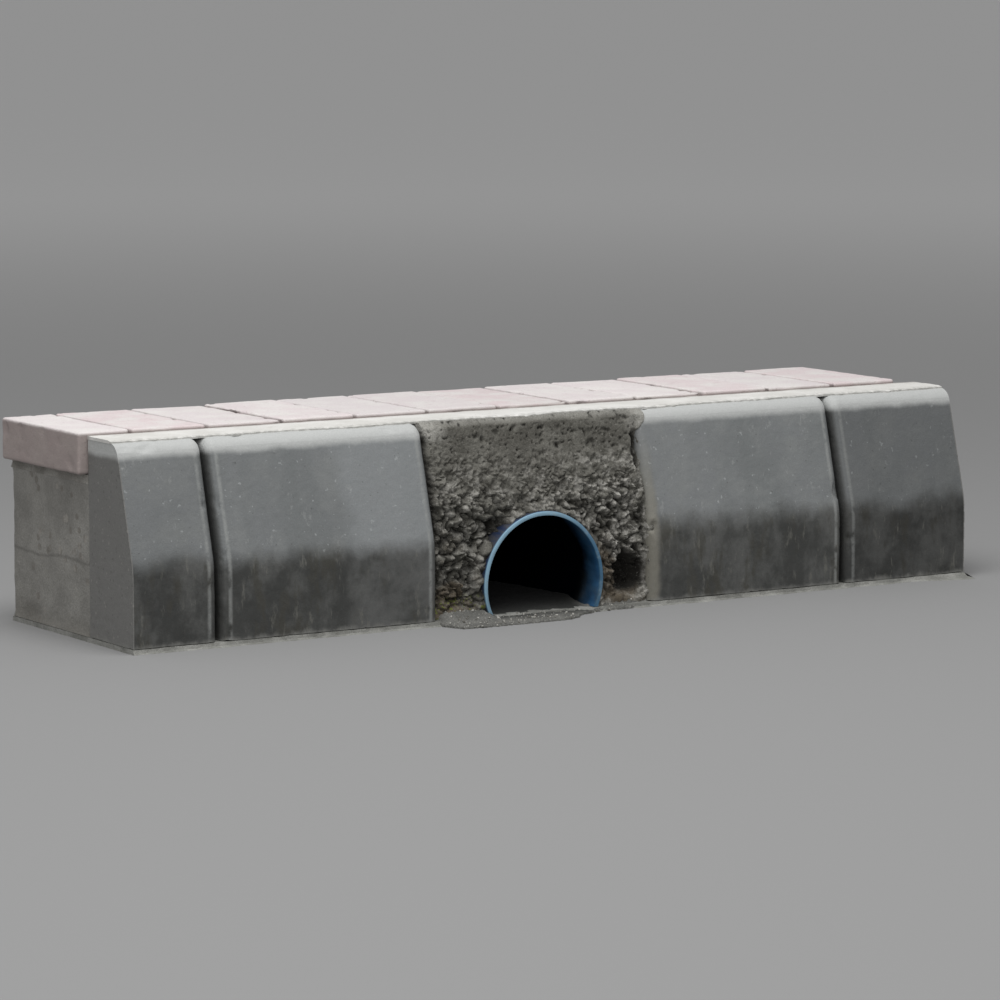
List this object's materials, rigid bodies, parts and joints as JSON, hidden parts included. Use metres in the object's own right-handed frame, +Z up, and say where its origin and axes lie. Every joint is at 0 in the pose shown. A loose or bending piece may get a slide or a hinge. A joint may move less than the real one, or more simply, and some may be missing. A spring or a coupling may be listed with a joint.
{
  "type": "sewer pipe outlet in a street kerb",
  "caption": "Short run of street kerb with a plastic sewer pipe packed in coarse mortar where a kerb stone was left out, and paving blocks behind.",
  "frame": {"origin": "under the middle of the whole part's box, at ground level", "axes": "+X along the kerb, +Y back under the paving, +Z up; the street side faces -Y"},
  "size_m": [1.198, 0.4808, 0.246],
  "materials": {
    "kerb_concrete": "weathered cast concrete, grey, darker and stained below",
    "packing_mortar": "coarse lumpy cement mortar, dark grey-brown",
    "pipe_plastic": "blue rigid pipe plastic, scuffed and dirty",
    "silt": "dried grey silt with grit",
    "bed_mortar": "thin pale mortar with a broken edge",
    "backing": "plain rough concrete",
    "skim": "pale smooth cement skim",
    "paver": "pale pink worn paving block"
  },
  "bodies": {
    "root": {"kerb_stone_left_end": "kerb_concrete", "kerb_stone_left": "kerb_concrete", "kerb_stone_right": "kerb_concrete", "kerb_stone_right_end": "kerb_concrete", "outlet_packing": "packing_mortar", "sewer_pipe": "pipe_plastic", "pipe_silt": "silt", "mortar_bed": "bed_mortar", "backing_concrete": "backing", "cement_skim": "skim", "paver_bed": "bed_mortar", "paver_01": "paver", "paver_02": "paver", "paver_03": "paver", "paver_04": "paver", "paver_05": "paver", "paver_06": "paver", "paver_07": "paver", "paver_08": "paver", "paver_09": "paver", "paver_10": "paver", "paver_11": "paver", "paver_12": "paver"}
  },
  "joints": []
}
